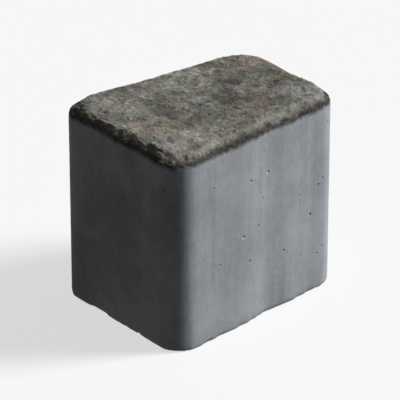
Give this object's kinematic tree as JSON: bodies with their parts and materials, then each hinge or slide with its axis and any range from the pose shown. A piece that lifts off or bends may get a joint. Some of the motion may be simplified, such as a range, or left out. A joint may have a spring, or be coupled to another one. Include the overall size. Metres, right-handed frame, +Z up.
{
  "type": "paving block",
  "caption": "Small wedge-shaped concrete paving block with wavy flanks, rounded upright corners and a worn arris, laid turned by turns in straight rows.",
  "frame": {"origin": "centre of the block's box on its bed face", "axes": "+Z up to the wearing face, +X along the row, +Y across the row from the long flank to the short one"},
  "size_m": [0.068, 0.086, 0.08],
  "materials": {
    "concrete": "matte"
  },
  "bodies": {
    "root": {"paving_block": "concrete"}
  },
  "joints": []
}
